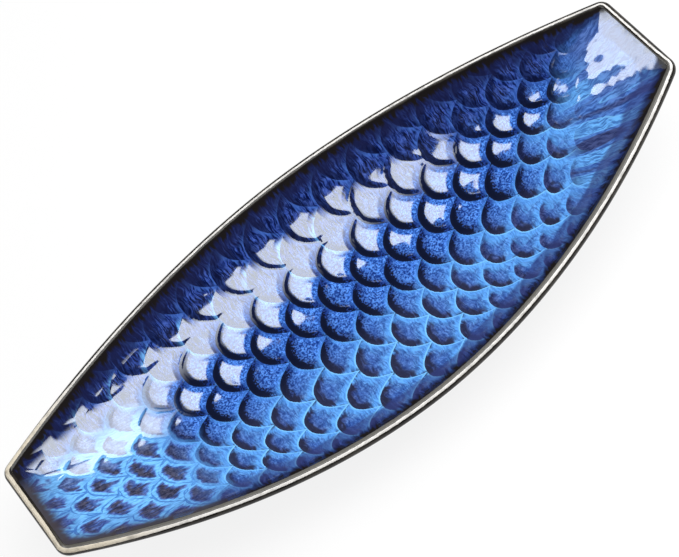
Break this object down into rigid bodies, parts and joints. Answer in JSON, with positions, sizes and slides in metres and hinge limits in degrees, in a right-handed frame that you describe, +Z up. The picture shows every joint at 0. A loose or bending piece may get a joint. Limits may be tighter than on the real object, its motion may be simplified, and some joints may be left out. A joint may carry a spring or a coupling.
{
  "type": "serving platter",
  "caption": "Boat-shaped ceramic serving platter with straight cut-off ends, a raised dark rim, a well pressed with overlapping fish scales under blue glaze, and an oval foot.",
  "frame": {"origin": "on the table under the middle of the platter, in the plane of the foot ring's underside", "axes": "+X along the platter, away from the end that the scale tips point to; +Y across it; +Z up"},
  "size_m": [0.3548, 0.1438, 0.05],
  "materials": {
    "stoneware_body": "bare fired stoneware, dry and slightly gritty",
    "scale_glaze": "glossy reactive blue glaze, sky blue where it pools and near black where it breaks over edges",
    "rim_glaze": "glossy iron-black glaze breaking to bone white and cream along the crest",
    "outside_glaze": "glossy dark blue glaze",
    "base_glaze": "glossy dark blue glaze"
  },
  "bodies": {
    "root": {"stoneware_body": "stoneware_body", "scale_glaze": "scale_glaze", "rim_glaze": "rim_glaze", "outside_glaze": "outside_glaze", "base_glaze": "base_glaze"}
  },
  "joints": []
}
